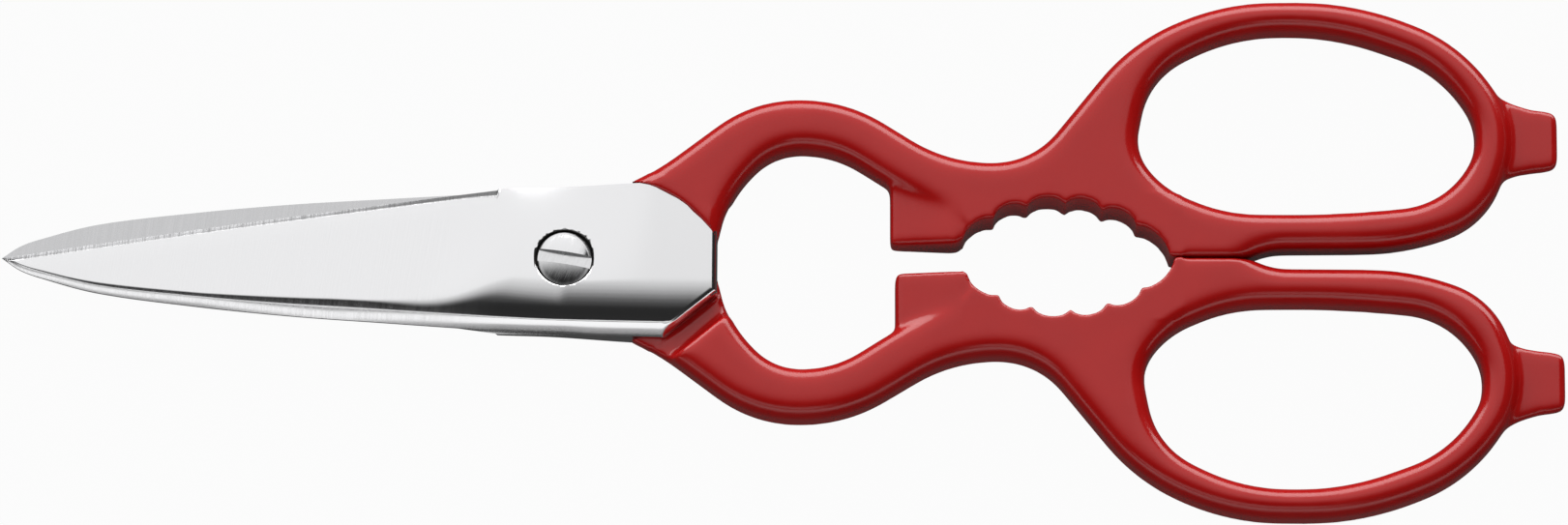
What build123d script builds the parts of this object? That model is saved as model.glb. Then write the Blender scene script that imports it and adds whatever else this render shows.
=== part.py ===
from build123d import *
from math import sqrt
import os

# Kitchen shears, closed and lying flat, in millimetres. X runs along the shears from the tips to
# the handles, Y across them and Z up. The shears rest on z = 0 and the origin is the centre of
# their closed outline on that surface. The front half lies on top, with its handle on the +Y side.
# Each half is first drawn about the pivot axis, with z = 0 on the plane where the halves meet.

# Blades and boss
blade_length = 72.0
boss_thickness = 3.5
boss_half_width = 9.8
boss_reach = 19.5
heel_x = -8.5
heel_height = 9.4
corner_x = 12.8
end_height = 4.25
boss_top = 9.75
neck_x = 9.5
flank_x = 16.0
flank_height = 8.4
end_round = 0.9
blade_lean_degrees = 0.42

# Grinding of each blade
heel_edge_thickness = 0.9
heel_spine_thickness = 2.7
tip_thickness = 0.9
spine_ground_height = 7.5
plunge_x = -14.8
plunge_radius = 10.0
plunge_skew_degrees = 9.0
spine_round_width = 5.4
spine_round_drop = 1.15
spine_bevel_width = 1.6
spine_bevel_height = 1.75
bevel_width = 0.5
bevel_height = 0.85
edge_flat = 0.05
edge_belly = 0.25
hollow_depth = 0.2
hollow_start_x = -10.5

# Pivot screw and its seat
screw_radius = 2.5
screw_head_radius = 3.45
screw_head_height = 1.4
screw_head_sink = 0.9
screw_edge = 0.25
slot_width = 1.6
slot_depth = 0.8
slot_degrees = -8.9
recess_radius = 3.75
running_clearance = 0.05
thread_clearance = 0.02

# Bow between the boss and the jaws
bow_x = 31.0
bow_half_length = 11.1
bow_half_height = 14.55
bow_width = 6.25
handle_mismatch = 0.6

# Opener jaws
jaw_x = 41.6
jaw_top = 9.4
jaw_gap = 1.8
jaw_tip_thickness = 4.8
jaw_root_x = 49.8
jaw_step = 0.05

# Toothed gripper and the stops behind it
grip_x = 63.95
grip_half_length = 13.35
grip_half_height = 7.1
scallop_depth = 0.93
cusp_round = 0.45
waist_height = 12.65
stop_gap = 0.05

# Finger loops
loop_x = 95.0
loop_y = 17.97
loop_half_length = 21.65
loop_half_width = 12.03
ring_width = 4.3

# Coated handle
handle_thickness = 8.0
coating = 1.0
coating_step = 0.5
handle_round = 2.3
edge_run_share = 0.732
edge_drop_share = 0.423
edge_blend_share = 0.309
coating_start_radius = 16.6
coating_start_x = 5.3
coating_start_y = -6.2
shoulder_gap = 3.0
shoulder_round = 1.5
shoulder_slope = 0.5
coating_lap = 0.5

# Screwdriver tabs behind the loops
tab_x = 127.1
tab_y = 15.8
tab_half_width = 3.7
tab_neck_half_width = 4.9
tab_thickness = 2.6
tab_coating = 0.5
tab_corner = 1.1
tab_root = 3.0

# One overrun serves every cut, so that no cutter ends on a face
overrun = 2.0

handle_half = handle_thickness / 2
overall_reach = tab_x + handle_mismatch
centre_x = (overall_reach - blade_length) / 2

# Outlines as shares of the sizes that they follow, clockwise. Arcs round off each corner, so the
# corners of a handle lie a little outside its edge.
spine_shares = [(0.0, -0.975), (-0.144, -0.915), (-0.315, -0.835), (-0.488, -0.75), (-0.66, -0.627),
                (-0.831, -0.459), (-0.934, -0.255), (-0.969, -0.155)]
root_shares = [(0.954, -0.153), (0.154, -0.153), (0.077, 0.408), (0.256, 0.857)]
bow_outer_shares = [(-1.118, 0.553), (-0.398, 1.005), (0.288, 1.005)]
waist_shares = [(-1.135, 1.012), (-0.326, 0.988)]
loop_outer_shares = [(-0.867, 0.645), (-0.405, 0.963), (0.224, 0.969), (0.755, 0.645),
                     (1.052, -0.023), (0.894, -0.782), (0.482, -1.015), (-0.270, -1.024)]
rail_shares = [(1.390, -0.620), (-0.745, -0.620), (-1.075, 0.704)]
bow_inner_shares = [(1.090, 0.599), (0.315, 0.976), (-0.378, 0.993), (-0.901, 0.564)]
loop_shares = [(-1.021, -0.330), (-0.928, 0.534), (-0.434, 0.988), (0.162, 1.004), (0.785, 0.601),
               (1.067, -0.172), (0.790, -0.904), (0.162, -1.012), (-0.485, -1.003),
               (-0.845, -0.729)]
cusp_shares = [(-1.0, 0.254), (-0.693, 0.723), (-0.371, 0.937), (0.0, 1.0), (0.356, 0.873),
               (0.685, 0.592), (1.0, 0.0)]
rounding_share = 0.48


def placed(shares, centre, size):
    """Points of an outline from its shares of a size, about a centre."""
    return [Vector(centre[0] + x * size[0], centre[1] + y * size[1]) for x, y in shares]


def flowing_face(corners, inset):
    """A face inside tangent arcs round the corners of a clockwise outline, moved in by the inset."""
    edges = []
    stops = []
    count = len(corners)
    for i, corner in enumerate(corners):
        arriving = corner - corners[i - 1]
        leaving = corners[(i + 1) % count] - corner
        reach = rounding_share * min(arriving.length, leaving.length)
        into = arriving.normalized()
        away = leaving.normalized()
        start = corner - into * reach + Vector(into.Y, -into.X) * inset
        end = corner + away * reach + Vector(away.Y, -away.X) * inset
        edges.append(TangentArc(start, end, tangent=into))
        stops.append((start, end))
    for i, (start, end) in enumerate(stops):
        edges.append(Line(stops[i - 1][1], start))
    return make_face(edges)


def heading(before, point, after):
    """The direction at a point of the circle through it and its two neighbours."""
    first = point - before
    second = after - point
    return (first.normalized() * second.length + second.normalized() * first.length).normalized()


def arc_pair(start, leaving, end, arriving):
    """Two arcs that meet smoothly, from a point and direction to another."""
    run = end - start
    spread = 2 * (1 - leaving.dot(arriving))
    along = run.dot(leaving + arriving)
    reach = run.dot(run) / (sqrt(along * along + spread * run.dot(run)) + along)
    middle = (start + end + (leaving - arriving) * reach) / 2
    return [
        TangentArc(start, middle, tangent=leaving),
        TangentArc(end, middle, tangent=arriving * -1),
    ]


def flowing_run(points):
    """Tangent arcs through the points from the first to the last."""
    first = heading(points[0] * 2 - points[1], points[0], points[1])
    last = heading(points[-2], points[-1], points[-1] * 2 - points[-2])
    headings = [first] + [heading(*three) for three in zip(points, points[1:], points[2:])] + [last]
    arcs = []
    for i in range(len(points) - 1):
        arcs += arc_pair(points[i], headings[i], points[i + 1], headings[i + 1])
    return arcs


def bar_corners(mismatch):
    """The corners of a handle's outline, from the boss round the bow, the loop and back."""
    bow_size = (bow_half_length, bow_half_height)
    bow_outer_size = (bow_half_length + bow_width, bow_half_height + bow_width)
    loop_size = (loop_half_length + ring_width, loop_half_width + ring_width)
    grip_centre = (grip_x + mismatch, 0)
    return (
        placed(root_shares, (0, 0), (boss_reach, boss_half_width))
        + placed(bow_outer_shares, (bow_x, 0), bow_outer_size)
        + placed(waist_shares, grip_centre, (grip_half_length, waist_height))
        + placed(loop_outer_shares, (loop_x + mismatch, loop_y), loop_size)
        + placed(rail_shares, grip_centre, (grip_half_length, grip_half_height))
        + placed(bow_inner_shares, (bow_x, 0), bow_size)
    )


def slab(face, half):
    """A face made as thick as twice the half, about the plane where the halves meet."""
    return Pos(0, 0, -half) * extrude(face, 2 * half, dir=(0, 0, 1))


def eased(bar):
    """A bar with its upper and lower edges rounded in two facets that touch one circle."""
    run = edge_run_share * handle_round
    drop = edge_drop_share * handle_round
    for end in (-1, 0):
        face = bar.faces().sort_by(Axis.Z)[end]
        bar = chamfer(face.edges(), run, drop, reference=face)
    rim = handle_half - drop
    edges = bar.edges()
    rims = edges.filter_by_position(Axis.Z, rim, rim) + edges.filter_by_position(Axis.Z, -rim, -rim)
    return chamfer(rims, edge_blend_share * handle_round)


def bar_form(mismatch, inset):
    """The handle bar: bow, web and finger loop."""
    outline = flowing_face(bar_corners(mismatch), inset)
    loop = placed(loop_shares, (loop_x + mismatch, loop_y), (loop_half_length, loop_half_width))
    opening = flowing_face(loop, -inset)
    bar = slab(outline - opening, handle_half - inset)
    return bar if inset else eased(bar)


def mouth_cut(mismatch, inset):
    """What lies between the handles: the gap of the jaws, the scalloped gripper and the stops."""
    centre = (grip_x + mismatch, 0)
    drawn = placed(cusp_shares, centre, (grip_half_length, grip_half_height))
    cusps = []
    for before, point, after in zip(drawn[:1] + drawn, drawn, drawn[1:] + drawn[-1:]):
        run = after - before
        outward = Vector(-run.Y, run.X).normalized()
        cusps.append(point + outward * inset)
    low = jaw_gap + inset
    shut = stop_gap + inset
    cusps[0] = Vector(cusps[0].X, low)
    cusps[-1] = Vector(cusps[-1].X, shut)
    near = bow_x
    far = loop_x
    deep = -boss_reach
    lines = [Line((near, low), cusps[0])]
    for start, end in zip(cusps, cusps[1:]):
        run = end - start
        outward = Vector(-run.Y, run.X).normalized()
        crown = (start + end) / 2 + outward * scallop_depth
        lines.append(ThreePointArc(start, crown, end))
    lines += [
        Line(cusps[-1], (far, shut)),
        Line((far, shut), (far, deep)),
        Line((far, deep), (near, deep)),
        Line((near, deep), (near, low)),
    ]
    face = make_face(lines)
    if not inset:
        inner = [v for v in face.vertices() if abs(v.X - centre[0]) < grip_half_length]
        face = fillet([v for v in inner if v.Y > jaw_gap + cusp_round], cusp_round)
    return slab(face, handle_thickness)


def jaw(mismatch, inset):
    """One opener jaw: a plate that thins towards the bow."""
    left = jaw_x + mismatch + inset
    root = jaw_root_x + mismatch
    thin = jaw_tip_thickness / 2 - inset
    thick = handle_half - inset - jaw_step
    profile = make_face(
        Polyline((left, -thin), (left, thin), (root, thick), (root, -thick), close=True)
    )
    low = jaw_gap / 2
    return Pos(0, low, 0) * extrude(Plane.XZ * profile, low - jaw_top)


def tab(mismatch, inset):
    """The flat screwdriver tab behind a finger loop, under a thinner coating."""
    thin = min(inset, tab_coating)
    end = tab_x + mismatch - thin
    root = loop_x + mismatch + loop_half_length + ring_width - tab_root
    wide = tab_neck_half_width - thin
    narrow = tab_half_width - thin
    outline = Polyline(
        (root, tab_y - wide), (root, tab_y + wide), (end, tab_y + narrow), (end, tab_y - narrow), close=True
    )
    face = make_face(outline)
    face = fillet(face.vertices().sort_by(Axis.X)[-2:], tab_corner)
    return slab(face, tab_thickness / 2 - thin)


def handle_form(mismatch, inset):
    """The whole handle, its surface moved in by the inset."""
    solid = bar_form(mismatch, inset) + jaw(mismatch, inset) + tab(mismatch, inset)
    return solid - mouth_cut(mismatch, inset)


def shoulder_cut(lap, floor, gap):
    """What the other half's boss takes out of the handle: a step with a rounded foot."""
    start = Vector(boss_reach, end_height)
    along = Vector(corner_x - boss_reach, boss_half_width - end_height).normalized()
    across = Vector(along.Y, -along.X)
    section = Plane(origin=start, x_dir=across, z_dir=along * -1)
    foot = gap - shoulder_round
    deep = -handle_half - overrun
    far = -2 * blade_length
    outline = [Line((far, 0), (lap, 0))]
    if floor:
        outline.append(Line((lap, 0), (lap, -floor)))
    outline += [
        Line((lap, -floor), (foot, -floor)),
        TangentArc((foot, -floor), (gap, -floor - shoulder_round), tangent=(1, 0)),
        Line((gap, -floor - shoulder_round), (gap + shoulder_slope, deep)),
        Line((gap + shoulder_slope, deep), (far, deep)),
        Line((far, deep), (far, 0)),
    ]
    return extrude(section * make_face(outline), 2 * blade_length, both=True)


def spine_points():
    """The spine of the blade from the boss corner to the tip."""
    spine = placed(spine_shares, (0, 0), (blade_length, boss_half_width))
    return [Vector(corner_x, -boss_half_width)] + spine + [Vector(-blade_length, 0)]


def edge_arc():
    """The cutting edge, from the tip to the heel with a slight belly."""
    tip = Vector(-blade_length, 0)
    heel = Vector(heel_x, heel_height)
    run = (heel - tip).normalized()
    belly = (tip + heel) / 2 + Vector(-run.Y, run.X) * edge_belly
    return ThreePointArc(tip, belly, heel)


def spine_cut():
    """Rounding of the back of blade and boss, with the bevel along its edge."""
    points = spine_points()
    lead = points[0] + Vector(boss_reach - corner_x + overrun, 0)
    beyond = points[-1] + (points[-1] - points[-2])
    path = Wire([Line(lead, points[0])] + flowing_run(points) + [Line(points[-1], beyond)])
    top = boss_thickness
    inner = spine_bevel_width + spine_round_width
    shelf = top - spine_round_drop
    foot = shelf - spine_bevel_height
    section = Plane(origin=lead, x_dir=(0, 1, 0), z_dir=(1, 0, 0))
    profile = make_face(
        [
            TangentArc((inner, top), (spine_bevel_width, shelf), tangent=(-1, 0)),
            Line((spine_bevel_width, shelf), (0, foot)),
            Line((0, foot), (-overrun, foot)),
            Line((-overrun, foot), (-overrun, top + overrun)),
            Line((-overrun, top + overrun), (inner, top + overrun)),
            Line((inner, top + overrun), (inner, top)),
        ]
    )
    return sweep(section * profile, path=path)


def ground_cut():
    """The flat that is ground on the outside of the blade, up to its plunge before the boss."""
    near_edge = Vector(heel_x, heel_height, heel_edge_thickness)
    near_spine = Vector(heel_x, -spine_ground_height, heel_spine_thickness)
    tip = Vector(-blade_length, 0, tip_thickness)
    normal = (near_spine - near_edge).cross(tip - near_edge).normalized()
    if normal.Z < 0:
        normal = normal * -1
    rise = (near_edge - Vector(plunge_x, 0, 0)).dot(normal) / normal.Z
    start = Vector(plunge_x, 0, rise)
    away = Vector(1, 0, 0).rotate(Axis.Z, plunge_skew_degrees)
    wheel = Plane(origin=start, x_dir=away - normal * away.dot(normal), z_dir=normal)
    side = Plane(origin=start, x_dir=wheel.x_dir, z_dir=wheel.x_dir.cross(normal))
    reach = -blade_length
    profile = make_face(
        [
            Line((reach, 0), (0, 0)),
            TangentArc((0, 0), (plunge_radius, plunge_radius), tangent=(1, 0)),
            Line((plunge_radius, plunge_radius), (reach, plunge_radius)),
            Line((reach, plunge_radius), (reach, 0)),
        ]
    )
    return extrude(side * profile, 2 * boss_half_width, both=True)


def bevel_cut():
    """The bevel along the cutting edge."""
    arc = edge_arc()
    start = arc @ 0
    forward = arc % 0
    section = Plane(origin=start, x_dir=Vector(forward.Y, -forward.X), z_dir=forward)
    rise = 1 if section.y_dir.Z > 0 else -1
    wide = 2 * bevel_width
    high = rise * 2 * bevel_height
    profile = make_face(
        Polyline(
            (0, rise * edge_flat), (wide, high + rise * edge_flat), (-overrun, high + rise * edge_flat),
            (-overrun, rise * edge_flat), close=True
        )
    )
    return sweep(section * profile, path=arc)


def hollow_cut():
    """The inner face falls away from the cutting edge towards the spine."""
    tip = Vector(-blade_length, 0)
    heel = Vector(heel_x, heel_height)
    run = (heel - tip).normalized()
    section = Plane(origin=tip - run * overrun, x_dir=Vector(run.Y, -run.X), z_dir=run)
    rise = 1 if section.y_dir.Z > 0 else -1
    wide = 2 * boss_half_width
    profile = make_face(
        Polyline(
            (bevel_width, 0), (wide, rise * hollow_depth), (wide, -rise * overrun),
            (bevel_width, -rise * overrun), close=True
        )
    )
    length = (heel - tip).length + overrun - (heel_x - hollow_start_x)
    return extrude(section * profile, length)


def blank():
    """Blade and boss of one half, ground and bevelled, above the plane where the halves meet."""
    arc = edge_arc()
    heel = arc @ 1
    neck = Vector(neck_x, boss_top)
    flank = Vector(flank_x, flank_height)
    high = Vector(boss_reach, end_height)
    low = Vector(boss_reach, -end_height)
    corner = Vector(corner_x, -boss_half_width)
    face = make_face(
        [arc, Line(heel, neck), Line(neck, flank), Line(flank, high), Line(high, low), Line(low, corner)]
        + flowing_run(spine_points())
    )
    body = extrude(face, boss_thickness, dir=(0, 0, 1))
    end = [
        e
        for e in body.edges().filter_by_position(Axis.Z, boss_thickness, boss_thickness)
        if e.center().X > corner_x and e.center().Y < end_height / 2
    ]
    body = fillet(end, end_round)
    return body - spine_cut() - ground_cut() - bevel_cut() - hollow_cut()


def half(lean, mismatch):
    """One forging, blade to tab, and the coating over its handle."""
    core = handle_form(mismatch, coating) - shoulder_cut(0, 0, shoulder_gap + coating_step)
    steel = Rot(0, 0, -lean) * blank() + core
    skin = handle_form(mismatch, 0) - shoulder_cut(coating_lap, coating_step, shoulder_gap) - steel
    bare = Pos(coating_start_x, coating_start_y, 0) * Cylinder(coating_start_radius, 2 * handle_thickness)
    return steel, skin - bare


def pivot_screw():
    """The slotted screw, its head in the front boss and its end flush with the back boss."""
    top = boss_thickness - screw_head_sink
    seat = top - screw_head_height
    upward = (Align.CENTER, Align.CENTER, Align.MIN)
    head = Pos(0, 0, seat) * Cylinder(screw_head_radius, screw_head_height, align=upward)
    head = chamfer(head.edges().sort_by(Axis.Z)[-1], screw_edge)
    shank = Pos(0, 0, -boss_thickness) * Cylinder(screw_radius, boss_thickness + seat, align=upward)
    shank = chamfer(shank.edges().sort_by(Axis.Z)[0], screw_edge)
    slot = Pos(0, 0, top) * Rot(0, 0, slot_degrees) * Box(3 * screw_head_radius, slot_width, 2 * slot_depth)
    return head + shank - slot


def build():
    """Every piece of the shears in the shears' own frame."""
    front_steel, front_skin = half(blade_lean_degrees, 0)
    back_steel, back_skin = half(-blade_lean_degrees, handle_mismatch)
    seat = boss_thickness - screw_head_sink - screw_head_height
    recess = Pos(0, 0, seat + boss_thickness / 2) * Cylinder(recess_radius, boss_thickness)
    front_steel = front_steel - recess - Cylinder(screw_radius + running_clearance, 4 * boss_thickness)
    back_steel = back_steel - Cylinder(screw_radius + thread_clearance, 4 * boss_thickness)
    front = Pos(-centre_x, 0, handle_half)
    back = front * Rot(180, 0, 0)
    return {
        "front_half": front * front_steel,
        "front_coating": front * front_skin,
        "back_half": back * back_steel,
        "back_coating": back * back_skin,
        "pivot_screw": front * pivot_screw(),
    }


def main():
    """Write each piece to a file of its own name."""
    os.makedirs("parts", exist_ok=True)
    for name, shape in build().items():
        export_step(shape, f"parts/{name}.step")


if __name__ == "__main__":
    main()
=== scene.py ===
"""Looks of the kitchen shears: polished and ground steel, glossy red coating, pale studio.

Lengths are in metres, in the frame of the CAD model: +X from the blade tips to the handles, +Y across
the shears, +Z up from the surface that they lie on.
"""

import logging
import math
from collections.abc import Iterable
from dataclasses import dataclass, field
from enum import Enum, IntEnum

import bmesh
import bpy
from bmesh.types import BMEdge, BMesh, BMVert
from bpy.types import Material, Mesh, Node, NodeSocket, NodeTree, Object
from mathutils import Matrix, Vector

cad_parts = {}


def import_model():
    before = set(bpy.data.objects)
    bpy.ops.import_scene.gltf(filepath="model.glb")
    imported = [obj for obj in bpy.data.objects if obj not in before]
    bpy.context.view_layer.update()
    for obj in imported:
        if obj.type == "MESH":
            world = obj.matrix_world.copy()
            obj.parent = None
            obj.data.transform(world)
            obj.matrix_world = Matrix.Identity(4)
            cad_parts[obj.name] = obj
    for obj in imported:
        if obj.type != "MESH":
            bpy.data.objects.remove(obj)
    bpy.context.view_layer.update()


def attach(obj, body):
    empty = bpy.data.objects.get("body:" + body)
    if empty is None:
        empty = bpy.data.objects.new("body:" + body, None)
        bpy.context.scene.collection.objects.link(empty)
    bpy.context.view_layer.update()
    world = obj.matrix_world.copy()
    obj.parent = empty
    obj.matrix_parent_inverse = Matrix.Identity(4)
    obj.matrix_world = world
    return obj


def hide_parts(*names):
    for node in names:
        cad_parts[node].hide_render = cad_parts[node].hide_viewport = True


LOG = logging.getLogger("kitchen_shears")
MM = 0.001
IMAGE_SIZE = (1621, 543)

Color = tuple[float, float, float, float]
Pair = tuple[float, float]
Pairs = tuple[Pair, ...]
Triple = tuple[float, float, float]

WHITE: Color = (1.0, 1.0, 1.0, 1.0)
# The pivot in mm, the blades' lean, and by how many mm the back handle reaches further
PIVOT: Triple = (-27.85, 0.0, 4.0)
LEAN_DEGREES = 0.42
MISMATCH = 0.6
# Radius, low end and high end of each bore, in mm about the pivot
FRONT_BORE = ((3.75, 1.2, 5.0), (2.55, -5.0, 5.0))
BACK_BORE = ((2.52, -5.0, 5.0),)
# Vertices of the CAD model that are closer than this count as one
CAD_WELD = 0.002 * MM
SHARP_DEGREES = 30.0
ROUND_STEPS = 96


class Body(Enum):
    """The rigid bodies that pieces ride on."""

    FRONT = "front"
    BACK = "back"


class Slot(Enum):
    """Names for the pieces' material slots; nothing in the script uses them."""

    STEEL = "steel"
    COATING = "red_coating"
    SCREW = "screw"


class Face(IntEnum):
    """Where each steel of a forging lies in its list of materials."""

    OUTER = 0
    BEVEL = 1
    INNER = 2
    BORE = 3


class Graph:
    """A material's node tree, with short calls to add and join its nodes."""

    def __init__(self, tree: NodeTree) -> None:
        """Take the node tree to build in, and clear it."""
        self.tree = tree
        tree.nodes.clear()

    def add(self, kind: str, **settings: object) -> Node:
        """Add a node of a kind, with attributes set on it."""
        node = self.tree.nodes.new(kind)
        for name, value in settings.items():
            setattr(node, name, value)
        return node

    def join(self, source: NodeSocket, target: NodeSocket) -> None:
        """Link an output to an input."""
        self.tree.links.new(source, target)

    def math(self, operation: str, first: object, second: object = 0.0) -> NodeSocket:
        """Add a maths node for an operation such as ADD on two values, each a socket or a number."""
        node = self.add("ShaderNodeMath", operation=operation)
        for index, value in enumerate((first, second)):
            if isinstance(value, NodeSocket):
                self.join(value, node.inputs[index])
            else:
                node.inputs[index].default_value = float(value)
        return node.outputs[0]

    def ramp(self, value: NodeSocket, low: float, high: float, start: float, end: float) -> NodeSocket:
        """Map a value to another range, clamped, so that low gives start and high gives end."""
        node = self.add("ShaderNodeMapRange")
        self.join(value, node.inputs["Value"])
        for name, number in (("From Min", low), ("From Max", high), ("To Min", start), ("To Max", end)):
            node.inputs[name].default_value = number
        return node.outputs["Result"]

    def noise(self, coords: NodeSocket, scale: float, detail: float = 2.0) -> NodeSocket:
        """Add noise over coordinates: its cycles per unit are the scale, its finer layers the detail."""
        node = self.add("ShaderNodeTexNoise")
        self.join(coords, node.inputs["Vector"])
        node.inputs["Scale"].default_value = scale
        node.inputs["Detail"].default_value = detail
        return node.outputs["Fac"]

    def stretched(self, scale: Triple, turn: float = 0.0, at: Triple = (0, 0, 0)) -> NodeSocket:
        """Object coordinates turned about Z and scaled.

        Args:
            scale: Scale along each axis after the turn.
            turn: Turn about Z in degrees.
            at: The point that becomes the centre.

        Returns:
            The coordinates' socket.
        """
        coords = self.add("ShaderNodeTexCoord")
        centre = self.add("ShaderNodeMapping")
        centre.inputs["Location"].default_value = tuple(-x for x in at)
        turned = self.add("ShaderNodeMapping")
        turned.inputs["Rotation"].default_value = (0.0, 0.0, math.radians(turn))
        sized = self.add("ShaderNodeMapping")
        sized.inputs["Scale"].default_value = scale
        self.join(coords.outputs["Object"], centre.inputs["Vector"])
        self.join(centre.outputs["Vector"], turned.inputs["Vector"])
        self.join(turned.outputs["Vector"], sized.inputs["Vector"])
        return sized.outputs["Vector"]

    def bump(self, height: NodeSocket, strength: float, distance: float) -> NodeSocket:
        """Add a bump from a height: strength is its share of the full effect, distance its depth."""
        node = self.add("ShaderNodeBump")
        node.inputs["Strength"].default_value = strength
        node.inputs["Distance"].default_value = distance
        self.join(height, node.inputs["Height"])
        return node.outputs["Normal"]

    def tint(self, share: NodeSocket, first: Color, second: Color) -> NodeSocket:
        """Mix two colours by the second one's share."""
        node = self.add("ShaderNodeMix", data_type="RGBA")
        node.inputs[6].default_value = first
        node.inputs[7].default_value = second
        self.join(share, node.inputs[0])
        return node.outputs[2]


class SurfaceGraph(Graph):
    """The node tree of a new material that has one principled shader."""

    def __init__(self, name: str, metallic: float) -> None:
        """Make the material and its shader.

        Args:
            name: The material's name.
            metallic: How metallic it is, from 0 to 1.
        """
        self.material = bpy.data.materials.new(name)
        self.material.use_nodes = True
        super().__init__(self.material.node_tree)
        out = self.add("ShaderNodeOutputMaterial")
        self.shader = self.add("ShaderNodeBsdfPrincipled")
        self.shader.inputs["Metallic"].default_value = metallic
        self.join(self.shader.outputs[0], out.inputs["Surface"])

    def dressed(
        self,
        color: Color | NodeSocket,
        roughness: NodeSocket,
        normal: NodeSocket | None = None,
    ) -> Material:
        """Give the shader its colour, roughness and relief.

        Args:
            color: A colour that is the same all over, or a colour's socket.
            roughness: The roughness's socket.
            normal: The normal's socket, where there is relief.

        Returns:
            The material.
        """
        for name, value in (("Base Color", color), ("Roughness", roughness), ("Normal", normal)):
            if isinstance(value, NodeSocket):
                self.join(value, self.shader.inputs[name])
            elif value is not None:
                self.shader.inputs[name].default_value = value
        return self.material


@dataclass(frozen=True)
class Finish:
    """What the finishes share: the roughness goes from one value to another as a noise passes its limits."""

    name: str = "finish"
    metallic: float = 1.0
    roughness: Pair = (0.3, 0.3)
    limits: Pair = (0.3, 0.7)


@dataclass(frozen=True)
class RedCoating(Finish):
    """Glossy red plastic with faint unevenness, as dipped or sprayed coatings have."""

    name: str = "red_coating"
    metallic: float = 0.0
    deep: Color = (0.345, 0.003, 0.003, 1.0)
    light: Color = (0.415, 0.006, 0.005, 1.0)
    roughness: Pair = (0.17, 0.25)
    patch_scale: float = 160.0
    peel_scale: float = 900.0
    peel_strength: float = 0.4
    peel_depth: float = 0.012 * MM

    def build(self) -> Material:
        """Make the material."""
        graph = SurfaceGraph(self.name, self.metallic)
        coords = graph.stretched((1.0, 1.0, 1.0))
        patches = graph.noise(coords, self.patch_scale, detail=3.0)
        peel = graph.noise(coords, self.peel_scale, detail=1.0)
        return graph.dressed(
            graph.tint(patches, self.deep, self.light),
            graph.ramp(patches, *self.limits, *self.roughness),
            graph.bump(peel, self.peel_strength, self.peel_depth),
        )


@dataclass(frozen=True)
class GroundSteel(Finish):
    """Outer faces of the stainless steel: mirror-polished boss and finely ground blade.

    The boss has the first roughness and the blade the second, to which its grinding adds. Along X, one
    gives way to the other between the two ends of the change.
    """

    name: str = "ground_steel"
    color: Color = (0.80, 0.80, 0.81, 1.0)
    roughness: Pair = (0.13, 0.2)
    limits: Pair = (0.35, 0.65)
    grind_pitch: float = 0.12 * MM
    grind_stretch: Pair = (40.0, 400.0)
    grind_turn: float = 9.0
    grind_roughness: Pair = (-0.03, 0.05)
    grind_strength: float = 0.5
    grind_depth: float = 0.0015 * MM
    boss_grind_share: float = 0.15
    change: Pair = (-44.0 * MM, -36.0 * MM)

    def build(self) -> Material:
        """Make the material."""
        graph = SurfaceGraph(self.name, self.metallic)
        along = graph.stretched((1.0 / self.grind_pitch, *self.grind_stretch), self.grind_turn)
        lines = graph.noise(along, 1.0, detail=3.0)
        coords = graph.add("ShaderNodeTexCoord")
        split = graph.add("ShaderNodeSeparateXYZ")
        graph.join(coords.outputs["Object"], split.inputs[0])
        on_blade = graph.ramp(split.outputs["X"], *self.change, 1.0, 0.0)
        base = graph.ramp(on_blade, 0.0, 1.0, *self.roughness)
        rise = graph.ramp(lines, *self.limits, *self.grind_roughness)
        ground = graph.math("MULTIPLY", rise, on_blade)
        height = graph.math("MULTIPLY", lines, graph.ramp(on_blade, 0.0, 1.0, self.boss_grind_share, 1.0))
        relief = graph.bump(height, self.grind_strength, self.grind_depth)
        return graph.dressed(self.color, graph.math("ADD", base, ground), relief)


@dataclass(frozen=True)
class GroundEdge(Finish):
    """The cutting bevel: coarser ground steel with a tick across it every quarter of a millimetre."""

    name: str = "edge_steel"
    deep: Color = (0.204, 0.204, 0.2064, 1.0)
    light: Color = (0.34, 0.34, 0.344, 1.0)
    roughness: Pair = (0.5, 0.38)
    tick_pitch: float = 0.26 * MM
    tick_stretch: Pair = (30.0, 30.0)
    tick_limits: Pair = (0.35, 0.6)
    tick_strength: float = 0.6
    tick_depth: float = 0.006 * MM

    def build(self) -> Material:
        """Make the material."""
        graph = SurfaceGraph(self.name, self.metallic)
        along = graph.stretched((1.0 / self.tick_pitch, *self.tick_stretch))
        ticks = graph.noise(along, 2.0, detail=1.0)
        share = graph.ramp(ticks, *self.tick_limits, 0.0, 1.0)
        return graph.dressed(
            graph.tint(share, self.deep, self.light),
            graph.ramp(ticks, *self.limits, *self.roughness),
            graph.bump(ticks, self.tick_strength, self.tick_depth),
        )


@dataclass(frozen=True)
class InnerSteel(Finish):
    """The inner faces of the blades: fine grinding across the blade."""

    name: str = "inner_steel"
    color: Color = (0.63, 0.63, 0.64, 1.0)
    roughness: Pair = (0.2, 0.36)
    grind_pitch: float = 0.18 * MM
    grind_stretch: Pair = (60.0, 60.0)
    grind_turn: float = 8.0
    grind_strength: float = 0.5
    grind_depth: float = 0.004 * MM

    def build(self) -> Material:
        """Make the material."""
        graph = SurfaceGraph(self.name, self.metallic)
        along = graph.stretched((1.0 / self.grind_pitch, *self.grind_stretch), self.grind_turn)
        lines = graph.noise(along, 1.5, detail=2.0)
        relief = graph.bump(lines, self.grind_strength, self.grind_depth)
        return graph.dressed(self.color, graph.ramp(lines, *self.limits, *self.roughness), relief)


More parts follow.
